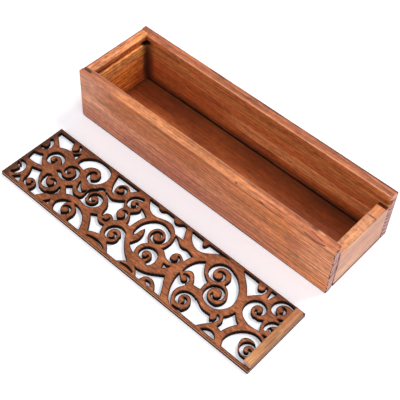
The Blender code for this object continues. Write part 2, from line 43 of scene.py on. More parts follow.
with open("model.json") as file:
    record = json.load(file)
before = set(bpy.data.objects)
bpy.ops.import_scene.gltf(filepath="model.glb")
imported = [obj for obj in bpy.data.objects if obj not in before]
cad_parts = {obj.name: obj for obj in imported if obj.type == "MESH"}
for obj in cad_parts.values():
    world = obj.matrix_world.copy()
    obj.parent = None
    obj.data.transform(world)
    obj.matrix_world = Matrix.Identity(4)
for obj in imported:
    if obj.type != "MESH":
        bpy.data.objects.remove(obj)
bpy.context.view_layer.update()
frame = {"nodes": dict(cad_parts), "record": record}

# Axes that the grain of a board may run along
box_length, box_width = 0, 1

# Lamps: name, setting of its power, where it hangs, where it points and how wide it is
lamps = (
    ("window_lamp", "window_light", (0.26, 0.53, 1.02), (0.0, -0.02, 0.0), 0.40),
    ("front_lamp", "front_light", (0.95, -0.35, 0.50), (0.0, -0.04, 0.02), 0.50),
    ("side_lamp", "side_light", (-0.25, -0.95, 0.60), (0.0, 0.00, 0.02), 0.80),
)

# Camera at the photo's angle: where it stands, and its right, up and back directions
camera_place = (0.2505, -0.3307, 0.4856)
camera_turn = ((0.73806, 0.67361, 0.03909), (-0.54526, 0.56130, 0.62260),
               (0.39744, -0.48083, 0.78156))
sensor_width = 36.0

# Distances from the floor's middle between which its pale shadow clears to white
ground_clears = (0.30, 1.10)
floor_drop = 0.0001

# Faces that turn less than the first are one, and an arris that turns more than the second is
# sanded. The third is the most that any part of a normal reaches on a sanded arris
flat_turn, keen_turn, arris_lean = math.radians(0.5), math.radians(35), 0.93

# Side of an outline that stays straight: how little it turns at its ends, or how short it is
straight_turn, short_side = math.radians(2), 2e-4

# How near two places are one: on a board, in a flat outline, along a seam and in height
board_weld, outline_weld, seam_weld, level_reach = 1e-6, 1e-7, 1e-8, 1e-5


def screen_colour(red, green, blue):
    """Linear colour for one that is read from 0 to 255 on a screen."""
    return tuple(((level / 255 + 0.055) / 1.055) ** 2.4 for level in (red, green, blue))


def colour(name, description, *levels):
    """Colour that a user may change."""
    return FloatVectorProperty(name=name, description=description, subtype="COLOR", size=3,
                               min=0, max=1, default=screen_colour(*levels))


def length(name, description, default):
    """Size in metres that a user may change."""
    return FloatProperty(name=name, description=description, unit="LENGTH", precision=5,
                         min=0, default=default)


def share(name, description, default):
    """Share from nothing to all that a user may change."""
    return FloatProperty(name=name, description=description, subtype="FACTOR",
                         min=0, max=1, default=default)


def power(name, description, default):
    """Lamp's power in watts that a user may change."""
    return FloatProperty(name=name, description=description, unit="POWER", min=0, default=default)


class PencilBoxColours(bpy.types.PropertyGroup):
    """Stain colours of the box and its lid."""

    near_light: colour("Near Wall Light", "Early wood of the near wall", 230, 152, 108)
    near_deep: colour("Near Wall Deep", "Red stain on the near wall", 178, 98, 68)
    near_orange: colour("Near Wall Orange", "Orange wood towards the front end", 232, 144, 80)
    near_pink: colour("Near Wall Pink", "Pale pink wood towards the back end", 240, 178, 146)
    near_top: colour("Near Wall Top", "Bright wood on the near wall's top", 230, 148, 92)
    near_olive: colour("Near Wall Olive", "Yellow-brown wood under the near wall's top",
                       184, 102, 46)
    far_light: colour("Far Wall Light", "Early wood of the far wall", 222, 132, 66)
    far_red: colour("Far Wall Red", "Red-brown stain low at the far wall's back", 176, 88, 40)
    far_bright: colour("Far Wall Bright", "Bright band halfway up the far wall", 246, 172, 112)
    far_deep: colour("Far Wall Deep", "Brown stain on the far wall", 190, 104, 60)
    far_olive: colour("Far Wall Olive", "Duller wood under the far wall's top", 182, 120, 64)
    far_top: colour("Far Wall Top", "Red-brown stain on the far wall's top", 180, 106, 74)
    back_light: colour("Back End Light", "Early wood of the back end", 246, 152, 60)
    back_deep: colour("Back End Deep", "Red-brown stain low on the back end", 186, 84, 40)
    back_bright: colour("Back End Bright", "Bright wood high on the back end", 255, 180, 106)
    front_light: colour("Front End Light", "Early wood of the front end", 232, 182, 138)
    front_deep: colour("Front End Deep", "Mauve stain on the front end", 198, 142, 118)
    front_orange: colour("Front End Orange", "Raw orange wood beside the notch", 214, 118, 54)
    # Dark red-brown of cracks, joints and scratches; also painted shade in the far wall's groove
    # end, and partly painted shade in the front end's recess
    notch: colour("Notch", "Red-brown cutter's mark at the front end's far side", 104, 36, 18)
    bottom_light: colour("Bottom Light", "Early wood of the bottom board", 194, 104, 48)
    bottom_deep: colour("Bottom Deep", "Brown stain on the bottom board", 154, 74, 34)
    late_wood: colour("Late Wood", "Hard dark line of each growth ring", 108, 48, 28)
    end_grain: colour("End Grain", "Stain soaked into sawn ends", 192, 152, 148)
    end_rings: colour("End Rings", "Growth rings on sawn ends", 108, 68, 68)
    # Pale wood on rubbed arrises and in the lid's top veneer, also painted highlight along the
    # boards' arrises and the sliver's lip
    bare_wood_and_highlight: colour("Rubbed Arris", "Wood laid bare on rubbed arrises", 244, 182, 132)
    # Dark wax in pores and on arrises, and also painted shade in the box's inner corners and along
    # the feet of its walls
    grime_and_shade: colour("Grime", "Dark wax in pores, on arrises and in corners", 62, 32, 22)
    # Near-black painted shadow in the grooves' corner holes, at the walls' feet, in seams and
    # along the recess; no wax lies there
    painted_shadow_and_char: colour("Deepest Corner", "Wax in corners where no light reaches", 22, 10, 7)
    lid_light: colour("Lid Light", "Warm flecks of the lid's face", 194, 118, 77)
    lid_deep: colour("Lid Deep", "Walnut stain of the lid's face", 84, 42, 26)
    char: colour("Char", "Burnt walls of the cut openings", 19, 9, 7)
    strip_light: colour("Pull Strip Light", "Bare wood of the pull strip", 222, 162, 108)
    strip_deep: colour("Pull Strip Deep", "Streaks in the pull strip", 176, 112, 70)


class PencilBoxGrain(bpy.types.PropertyGroup):
    """Sizes of the timber's figure."""

    ring: length("Ring Spacing", "Distance from one growth ring to the next", 0.0022)
    wander: length("Ring Wander", "How far the rings stray along a board", 0.0030)
    fibre: length("Fibre Width", "Width of the fine fibres", 0.0005)
    fleck: length("Fleck Width", "Width of the dark pores", 0.0003)
    streak: length("Streak Width", "Width of the streaks along the grain", 0.0013)
    curl: length("Curl Width", "Width of the mottled curls", 0.0019)
    stain: length("Stain Patch", "Width of the patches of stain", 0.0180)
    # Reach of the bare wood, painted highlight and dirt along an arris
    arris: length("Rubbed Edge", "How far rubbing and wax reach from an arris", 0.0010)
    relief: length("Relief", "Depth of the grain under a finger", 0.00012)


class PencilBoxBoards(bpy.types.PropertyGroup):
    """Sizes of the boards' sanded arrises."""

    arris: length("Sanded Arris", "Radius that sandpaper leaves on an arris", 0.0005)
    chatter: length("Uneven Sanding", "How far an arris strays from true", 0.00016)
    station: length("Station", "Distance between two cuts along a board", 0.0050)


class PencilBoxLid(bpy.types.PropertyGroup):
    """Sizes of the lid's sawn scrolls."""

    arris: length("Sanded Arris", "Radius of the panel's sanded arris", 0.00028)
    halo: length("Burn Halo", "How far the burn shows on the face", 0.0017)
    corner: FloatProperty(name="Sharp Corner", description="Turn above which a corner stays sharp",
                          subtype="ANGLE", default=math.radians(32))
    steps: IntProperty(name="Curve Steps", description="Steps laid between two points of a curve",
                       min=1, default=3)


class PencilBoxStage(bpy.types.PropertyGroup):
    """Floor, light and camera."""

    floor: length("Floor Size", "Width of the floor", 6.0)
    floor_colour: colour("Floor Colour", "Pale floor", 247, 247, 250)
    shadow_colour: colour("Shadow Lift", "Light that keeps the shadows pale", 148, 149, 156)
    window_light: power("Window Light", "Power of the large lamp behind", 7.3)
    front_light: power("Front Light", "Power of the lamp at the front end", 3.0)
    side_light: power("Side Light", "Power of the lamp facing the near wall", 3.4)
    sky: share("Room Light", "Light that comes evenly from all round", 0.48)
    focal: FloatProperty(name="Lens", description="Focal length of the camera", unit="CAMERA",
                         default=83.5)


class Amount:
    """Value that a finish works out at each point, used in sums as a number is."""

    def __init__(self, finish, socket):
        self.finish = finish
        self.socket = socket

    def combine(self, operation, first, second):
        return self.finish.add("ShaderNodeMath", {"operation": operation}, {0: first, 1: second})

    def __add__(self, other):
        return self.combine("ADD", self, other)

    def __radd__(self, other):
        return self.combine("ADD", other, self)

    def __sub__(self, other):
        return self.combine("SUBTRACT", self, other)

    def __rsub__(self, other):
        return self.combine("SUBTRACT", other, self)

    def __mul__(self, other):
        return self.combine("MULTIPLY", self, other)

    def __rmul__(self, other):
        return self.combine("MULTIPLY", other, self)

    def __truediv__(self, other):
        return self.combine("DIVIDE", self, other)

    def __pow__(self, other):
        return self.combine("POWER", self, other)

    def __mod__(self, other):
        return self.combine("FLOORED_MODULO", self, other)

    def __abs__(self):
        return self.finish.add("ShaderNodeMath", {"operation": "ABSOLUTE"}, {0: self})

    def least(self, other):
        return self.combine("MINIMUM", self, other)

    def most(self, other):
        return self.combine("MAXIMUM", self, other)

    def rise(self, start, end):
        """Nothing before start, all after end, and smooth between them."""
        return self.finish.add("ShaderNodeMapRange", {"interpolation_type": "SMOOTHSTEP"},
                               {"Value": self, "From Min": start, "From Max": end})

    def fall(self, start, end):
        """All before start and nothing after end."""
        return self.finish.add("ShaderNodeMapRange", {"interpolation_type": "SMOOTHSTEP"},
                               {"Value": self, "From Min": start, "From Max": end,
                                "To Min": 1.0, "To Max": 0.0})

    def between(self, start, end, soft):
        """All from start to end, and nothing further off than the soft width."""
        return self.rise(start - soft, start) * self.fall(end, end + soft)


class Finish:
    """Nodes of a material or of the room's light that are being built up."""

    def __init__(self, block):
        block.use_nodes = True
        self.block = block
        self.tree = block.node_tree
        self.tree.nodes.clear()

    def add(self, kind, settings=None, sockets=None, output=0):
        """Node of a type, with its settings first, then its sockets' values or links."""
        node = self.tree.nodes.new(kind)
        for name, choice in (settings or {}).items():
            setattr(node, name, choice)
        for key, given in (sockets or {}).items():
            socket = usable(node.inputs, key)
            if isinstance(given, Amount):
                self.tree.links.new(given.socket, socket)
            elif socket.type == "RGBA" and len(given) == 3:
                socket.default_value = (*given, 1.0)
            else:
                socket.default_value = given
        if isinstance(output, tuple):
            return tuple(Amount(self, usable(node.outputs, key)) for key in output)
        return Amount(self, usable(node.outputs, output)) if node.outputs else None

    def blend(self, first, second, factor, kind="MIX"):
        """One colour laid over another by a factor."""
        return self.add("ShaderNodeMix", {"data_type": "RGBA", "blend_type": kind},
                        {"Factor": factor, "A": first, "B": second})

    def noise(self, place, detail=2.0, roughness=0.5, seed=0.0):
        """Soft random value about a half."""
        return self.add("ShaderNodeTexNoise", {"noise_dimensions": "4D"},
                        {"Vector": place, "W": seed, "Scale": 1.0, "Detail": detail,
                         "Roughness": roughness}, output="Fac")

    def ripple(self, along, detail):
        """Soft random value that changes with a single amount."""
        return self.add("ShaderNodeTexNoise", {"noise_dimensions": "1D"},
                        {"W": along, "Scale": 1.0, "Detail": detail}, output="Fac")

    def vector(self, operation, *parts, output="Vector"):
        """Sum on one vector or on two."""
        return self.add("ShaderNodeVectorMath", {"operation": operation}, dict(enumerate(parts)),
                        output)

    def reach(self, place, centre, size):
        """Distance from a centre, where 1 is the skin of an egg of that size."""
        scaled = self.vector("DIVIDE", self.vector("SUBTRACT", place, centre), size)
        return self.vector("LENGTH", scaled, output="Value")

    def seen(self):
        """All where the camera or a shiny surface looks on, and nothing where light falls."""
        camera, glossy = self.add("ShaderNodeLightPath", output=("Is Camera Ray", "Is Glossy Ray"))
        return camera.most(glossy)

    def close(self, sockets):
        """Shader at the end of the material."""
        shader = self.add("ShaderNodeBsdfPrincipled", sockets=sockets)
        self.add("ShaderNodeOutputMaterial", sockets={"Surface": shader})
        return self.block


def usable(sockets, key):
    """Socket by its number or name, among those that the settings leave in use."""
    in_use = [socket for socket in sockets if socket.enabled]
    if isinstance(key, int):
        return in_use[key]
    return next(socket for socket in in_use if socket.name == key)


def rates_for(grain, along, across):
    """Cells per metre along the grain and across it."""
    rates = [1 / across] * 3
    rates[grain] = 1 / along
    return tuple(rates)


class Timber:
    """Grain, pores, stain and wear of one board, worked out through its thickness.

    The grain runs along one axis, and the pith is where the tree's heart crosses the other two.
    """

    def __init__(self, name, node, grain, pith, sizes, seed):
        self.finish = Finish(bpy.data.materials.new(name))
        self.node = node
        self.grain = grain
        self.pith = pith
        self.sizes = sizes
        self.seed = seed
        self.low, self.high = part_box(node)
        finish = self.finish
        self.place, normal = finish.add("ShaderNodeTexCoord", output=("Object", "Normal"))
        self.parts = finish.add("ShaderNodeSeparateXYZ", sockets={"Vector": self.place},
                                output=("X", "Y", "Z"))
        self.normals = finish.add("ShaderNodeSeparateXYZ", sockets={"Vector": normal},
                                  output=("X", "Y", "Z"))

    def random(self, along, across, detail=2.0, roughness=0.5, shift=0.0):
        """Random value stretched along the grain."""
        place = self.finish.vector("MULTIPLY", self.place, rates_for(self.grain, along, across))
        return self.finish.noise(place, detail, roughness, self.seed + shift)

    def rings(self, spacing):
        """Growth lines of rings round the pith: all on the hard dark wood of each ring."""
        slow = self.random(0.090, 0.030, 1.0, 0.4, 0.3) - 0.5
        quick = self.random(0.016, 0.0045, 2.0, 0.5, 1.7) - 0.5
        across = [part for axis, part in enumerate(self.parts) if axis != self.grain]
        first = across[0] - self.pith[0] + slow * (2.4 * self.sizes.wander)
        second = across[1] - self.pith[1] + quick * (0.5 * self.sizes.wander)
        count = (first * first + second * second) ** 0.5 / spacing
        uneven = self.finish.ripple(count * 0.42 + self.seed, 1.0)
        year = self.finish.ripple(count * 0.85 + (self.seed + 5.0), 0.0)
        phase = (count + uneven * 1.9) % 1.0
        return phase.rise(0.30, 0.84) * phase.fall(0.88, 1.0) * (year.rise(0.34, 0.66) * 0.7 + 0.3)

    def sawn_share(self):
        """All where the surface is sawn across the grain."""
        return abs(self.normals[self.grain]).rise(0.55, 0.85)

    def arris_share(self, reach):
        """All on an arris of the board's block and nothing further from it than the reach."""
        first, second, third = [(part - start).least(end - part)
                                for part, start, end in zip(self.parts, self.low, self.high)]
        middle = first.least(second).most(first.most(second).least(third))
        return middle.fall(0.0, reach)

    def fray(self):
        """Random value that makes the edges of marks and of wear ragged."""
        return self.random(0.010, 0.004, 2.0, 0.6, 9.1)

    def spot(self, centre, size, weight, core=0.2, ragged=0.5):
        """Ragged patch round a centre."""
        near = self.finish.reach(self.place, centre, size) + (self.fray() - 0.5) * ragged
        return near.fall(core, 1.0) * weight


class Plank(Timber):
    """Stained softwood board."""

    def material(self, light, deep, colours, ring_rate=1.0, line=0.7, bold=1.0, stains=(),
                 marks=(), wax=0.5, rubbed=0.4):
        """Finish of the whole board.

        light and deep are the stain where it took thin and thick. Stains go on under the grain
        and marks over it, and each is a mask and its colour; some marks are painted shade.
        ring_rate spreads the rings, line darkens them and bold strengthens the figure. wax is
        the dirt on the arrises, and rubbed the bare wood and painted highlight on them.
        """
        finish = self.finish
        sizes = self.sizes
        lines = self.rings(sizes.ring * ring_rate)
        lines = lines * (self.random(0.050, 0.006, 2.0, 0.5, 2.9).rise(0.28, 0.72) * 0.45 + 0.55)
        fibre = self.random(0.012, sizes.fibre, 4.0, 0.62, 4.1)
        hairs = self.random(0.030, sizes.fibre * 0.45, 2.0, 0.5, 5.3)
        threads = self.random(0.060, sizes.streak * 0.7, 1.0, 0.5, 13.7).rise(0.56, 0.70)
        streaks = self.random(sizes.streak * 20, sizes.streak, 3.0, 0.6, 3.7)
        curls = self.random(sizes.curl * 2.4, sizes.curl, 3.0, 0.65, 12.9)
        pores = self.random(0.0040, sizes.fleck, 1.0, 0.5, 6.7).rise(0.66, 0.74)
        pores = pores * self.random(0.020, 0.008, 1.0, 0.5, 7.9).rise(0.40, 0.62)
        patches = self.random(sizes.stain * 2.4, sizes.stain, 3.0, 0.55, 8.3)

        surface = finish.blend(light, deep, patches.rise(0.36, 0.64))
        for mask, tint in stains:
            surface = finish.blend(surface, tint, mask)
        surface = finish.blend(surface, deep, fibre.rise(0.46, 0.66) * 0.55)
        surface = finish.blend(surface, light, hairs.rise(0.54, 0.72).most(threads) * 0.45)

        sawn = self.sawn_share()
        bands = self.rings(sizes.ring * ring_rate * 2.6).rise(0.15, 0.50)
        surface = finish.blend(surface, colours.late_wood, lines * line * (1 - sawn))
        surface = finish.blend(surface, colours.end_grain, sawn * 0.90)
        surface = finish.blend(surface, colours.end_rings, sawn * bands.most(lines * 0.6) * 0.85)
        figure = (streaks - 0.5) * (1.5 * bold) + (curls - 0.5) * (1.3 * bold) + 1.0
        surface = finish.blend(surface, figure, 1 - sawn * 0.75, "MULTIPLY")
        surface = finish.blend(surface, colours.grime_and_shade, pores * 0.55)

        uneven = self.fray()
        edge = self.arris_share(sizes.arris)
        # Lighter arrises: partly bare wood rubbed through the stain, partly painted highlight
        bare = edge * uneven.rise(0.30, 0.60) * rubbed
        surface = finish.blend(surface, colours.bare_wood_and_highlight, bare)
        surface = finish.blend(surface, colours.grime_and_shade, edge * uneven.fall(0.34, 0.66) * wax)
        hollow = pores + lines * 0.30
        for mask, tint in marks:
            surface = finish.blend(surface, tint, mask)
            hollow = hollow + mask * 1.2

        height = fibre * 0.55 + hairs * 0.35 - hollow + streaks * 0.8 + uneven * 0.3
        normal = finish.add("ShaderNodeBump", sockets={"Strength": 0.8, "Distance": sizes.relief,
                                                       "Height": height})
        dull = 0.44 + fibre * 0.16 + sawn * 0.22 + pores * 0.12 - lines * 0.06
        return finish.close({"Base Color": surface, "Roughness": dull, "Normal": normal,
                             "Specular IOR Level": 0.30, "Coat Weight": 0.05,
                             "Coat Roughness": 0.32})

    def dress(self, name, material, boards):
        """Stand a sanded board with this finish in for the plain one."""
        stand_for(sanded_board(name, self.node, self.grain, boards), self.node, material)


def put_piece(name, bm, sharp=45):
    """Piece made from a mesh, smooth over its rounded arrises and flat on its faces."""
    mesh = bpy.data.meshes.new(name)
    bm.to_mesh(mesh)
    bm.free()
    mesh.shade_smooth()
    mesh.set_sharp_from_angle(angle=math.radians(sharp))
    piece = bpy.data.objects.new(name, mesh)
    bpy.context.scene.collection.objects.link(piece)
    weighted = piece.modifiers.new("flat faces", "WEIGHTED_NORMAL")
    weighted.keep_sharp = True
    weighted.weight = 100
    return piece


def stand_for(piece, node, material):
    """Let a finished piece take the place of its plain board."""
    record = frame["record"]
    bodies = record["behaviour"]["bodies"]
    piece.data.materials.append(material)
    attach(piece, next(body for body, nodes in bodies.items() if node in nodes))
    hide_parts(node)


def sanded_board(name, node, grain, boards):
    """Board with the arrises that sandpaper leaves: eased, and never quite even."""
    plain = frame["nodes"][node].data
    bm = bmesh.new()
    corners = [bm.verts.new(vert.co) for vert in plain.vertices]
    for face in plain.polygons:
        bm.faces.new([corners[index] for index in face.vertices])
    bmesh.ops.remove_doubles(bm, verts=bm.verts, dist=board_weld)
    bmesh.ops.dissolve_limit(bm, angle_limit=flat_turn, verts=bm.verts, edges=bm.edges)
    keen = [edge for edge in bm.edges if edge.is_manifold and edge.is_convex
            and edge.calc_face_angle() > keen_turn]
    bmesh.ops.bevel(bm, geom=keen, offset=boards.arris, segments=3, profile=0.5,
                    affect="EDGES", clamp_overlap=True)
    low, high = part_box(node)
    along = Vector([float(axis == grain) for axis in range(3)])
    for cut in range(1, int((high[grain] - low[grain]) / boards.station)):
        place = along * (low[grain] + cut * boards.station)
        bmesh.ops.bisect_plane(bm, geom=bm.verts[:] + bm.edges[:] + bm.faces[:],
                               plane_co=place, plane_no=along)
    bm.normal_update()
    for vert in bm.verts:
        if max(abs(part) for part in vert.normal) < arris_lean:
            slow = noise.noise(vert.co / (5 * boards.station))
            quick = noise.noise(vert.co / (1.1 * boards.station))
            vert.co -= vert.normal * (boards.chatter * max(0.0, 0.4 + slow + 0.6 * quick))
    return put_piece(name, bm)


class PENCILBOX_OT_near_wall(bpy.types.Operator):
    """Dress the near side wall, with its specks and the sliver split near its front end"""

    bl_idname = "pencil_box.near_wall"
    bl_label = "Finish Near Wall"

    def execute(self, context):
        scene = context.scene
        colours = scene.pencil_box_colours
        timber = Plank("near_wall_stained_wood", "side_wall_near", box_length,
                       pith=(0.030, -0.085), sizes=scene.pencil_box_grain, seed=11.0)
        low, high = timber.low, timber.high
        x, y, z = timber.parts
        top = z.rise(0.0415, 0.0425)
        olive = z.between(0.026, 0.0405, 0.006) * (x.between(-0.072, -0.005, 0.030) * 0.60 + 0.20)
        stains = [(x.rise(-0.02, 0.07) * 0.80, colours.near_orange),
                  (x.fall(-0.100, -0.045) * 0.60, colours.near_pink),
                  (z.fall(0.004, 0.028) * x.fall(0.04, 0.11) * 0.75, colours.near_deep),
                  (olive, colours.near_olive),
                  (top * x.between(-0.070, 0.040, 0.030) * 0.60, colours.near_top),
                  (top * x.fall(-0.100, -0.070) * 0.70, colours.near_deep),
                  (top * x.rise(0.015, 0.060) * 0.60, colours.near_deep),
                  (z.between(0.014, 0.038, 0.006) * x.rise(0.070, 0.100) * 0.35,
                   colours.near_pink),
                  (timber.spot((0.080, low.y, 0.024), (0.010, 0.004, 0.014), 0.6),
                   colours.near_deep)]
        specks = (((0.0321, low.y, high.z - 0.0006), (0.0016, 0.0016, 0.0012), 0.80),
                  ((0.0530, low.y, high.z - 0.0018), (0.0034, 0.0016, 0.0009), 0.95),
                  ((0.0684, low.y, high.z - 0.0014), (0.0040, 0.0014, 0.0005), 0.75),
                  ((low.x + 0.004, high.y - 0.0031, high.z), (0.006, 0.0010, 0.003), 0.90))
        marks = [(timber.spot(*speck), colours.grime_and_shade) for speck in specks]
        marks.extend(self.sliver(timber, colours))
        marks.append((z.fall(0.0004, 0.0014) * y.fall(low.y + 0.002, low.y + 0.004) * 0.80,
                      colours.grime_and_shade))
        outside = y.fall(high.y - 0.003, high.y - 0.001)
        foot = z.fall(0.002, 0.006).most(x.rise(high.x - 0.006, high.x - 0.002)) * outside * 1.3
        fading = x.rise(-0.100, 0.040) * 0.30 + 0.50
        material = timber.material(colours.near_light, colours.near_deep, colours,
                                   ring_rate=0.95, line=fading, bold=1.15, stains=stains,
                                   marks=marks, wax=foot, rubbed=0.30)
        timber.dress("near_wall_board", material, scene.pencil_box_boards)
        return {"FINISHED"}

    def sliver(self, timber, colours):
        """Sliver split along the outer arris: its two cracks, raw wood, the bare wood and painted
        highlight of its lip, and small chips.

        over_arris is how far a place is from that arris, and is less than nothing below it.
        """
        low, high = timber.low, timber.high
        x, y, z = timber.parts
        over_arris = (y - low.y) - (high.z - z)
        bow = (x - (high.x - 0.0165)) / 0.0070
        crack = bow * bow * 0.0011 - 0.0020
        rough = (timber.random(0.0030, 0.0010, 2.0, 0.6, 15.0) - 0.5) * 0.0008
        gap = abs(over_arris - crack + rough)
        taper = x.between(high.x - 0.0225, high.x - 0.0095, 0.0025)
        split = abs(over_arris + (x - high.x) * 0.15 - 0.0001 + rough).fall(0.0001, 0.0007)
        split = split * x.between(high.x - 0.0200, high.x - 0.0120, 0.0020)
        raw = (over_arris - crack).rise(0.0, 0.0004) * over_arris.fall(0.0020, 0.0036)
        raw = raw * x.between(high.x - 0.0200, high.x - 0.0030, 0.004)
        # Lip of the sliver: bare wood with a painted highlight along it
        lip = abs(over_arris + 0.0005 + rough).fall(0.0002, 0.0008)
        lip = lip * x.between(high.x - 0.0068, high.x - 0.0020, 0.0015)
        chip = timber.spot((high.x - 0.0148, high.y - 0.0009, high.z), (0.0040, 0.0014, 0.003),
                           0.60, ragged=1.8)
        nick = timber.spot((high.x - 0.0205, high.y - 0.0008, high.z), (0.0036, 0.0012, 0.002),
                           0.80, ragged=2.0)
        joint = timber.spot((high.x - 0.0012, high.y - 0.0014, high.z), (0.0008, 0.0024, 0.002),
                            0.75, ragged=0.8)
        return [(raw * 0.50, colours.near_deep), (split * 0.75, colours.late_wood),
                (gap.fall(0.0002, 0.0009) * taper * 0.9, colours.notch),
                (lip, colours.bare_wood_and_highlight), (chip, colours.bare_wood_and_highlight),
                (nick, colours.late_wood), (joint, colours.notch)]


class PENCILBOX_OT_far_wall(bpy.types.Operator):
    """Dress the far side wall, browner above and lined with orange below"""

    bl_idname = "pencil_box.far_wall"
    bl_label = "Finish Far Wall"

    def execute(self, context):
        scene = context.scene
        colours = scene.pencil_box_colours
        timber = Plank("far_wall_stained_wood", "side_wall_far", box_length,
                       pith=(0.0005, -0.060), sizes=scene.pencil_box_grain, seed=23.0)
        low, high = timber.low, timber.high
        x, y, z = timber.parts
        end_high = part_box("back_end")[1]
        floor_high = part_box("bottom_board")[1]
        inside = y.fall(floor_high.y + 0.001, floor_high.y + 0.002)
        wave = (timber.random(0.050, 0.012, 2.0, 0.5, 18.0) - 0.5) * 0.006
        stains = [((z + wave).rise(0.0205, 0.0240) * 0.75, colours.far_deep),
                  (x.fall(-0.060, -0.015) * z.fall(0.022, 0.026) * 0.65, colours.far_red),
                  ((z + wave).between(0.0135, 0.0210, 0.0020) * x.rise(-0.035, 0.000) * 0.85,
                   colours.far_bright),
                  (z.between(0.030, 0.034, 0.004) * 0.55, colours.far_olive),
                  (z.rise(0.0405, 0.0425) * 0.85, colours.far_top)]
        # Painted shade in the inner corner by the back end, up its whole height
        corner = timber.spot((end_high.x, low.y, 0.018), (0.010, 0.005, 0.034), 0.85)
        ragged = (timber.random(0.006, 0.003, 2.0, 0.6, 17.0) - 0.5) * 0.0016
        # Painted shade low on the inner face, by the floor
        shade = z.fall(0.004, 0.012) * inside * 0.55
        # Painted shadow along the inner face's foot, where it meets the floor
        foot = (z + ragged).fall(floor_high.z + 0.0003, floor_high.z + 0.0014) * inside
        # Painted shadow in the hole where the two grooves meet at the back corner
        socket = timber.spot((end_high.x, low.y, 0.0368), (0.0046, 0.0060, 0.0026), 1.0, 0.6)
        # Painted shade in the groove's end by the front end
        notch = timber.spot((high.x - 0.003, low.y, 0.0366), (0.0050, 0.0060, 0.0024), 0.4, 0.5)
        worn = timber.random(0.030, 0.010, 1.0, 0.5, 19.0).rise(0.36, 0.52)
        outline = y.rise(high.y - 0.0018, high.y - 0.0009) * z.rise(high.z - 0.002, high.z - 0.001)
        marks = [(corner, colours.grime_and_shade), (shade, colours.grime_and_shade), (foot * 0.90, colours.painted_shadow_and_char),
                 (socket, colours.painted_shadow_and_char), (notch, colours.notch),
                 (outline * worn * 0.85, colours.grime_and_shade)]
        outer = y.rise(high.y - 0.002, high.y - 0.001) * 0.95
        material = timber.material(colours.far_light, colours.far_deep, colours, ring_rate=0.65,
                                   line=0.80, bold=1.20, stains=stains, marks=marks, wax=outer,
                                   rubbed=0.80)
        timber.dress("far_wall_board", material, scene.pencil_box_boards)
        return {"FINISHED"}


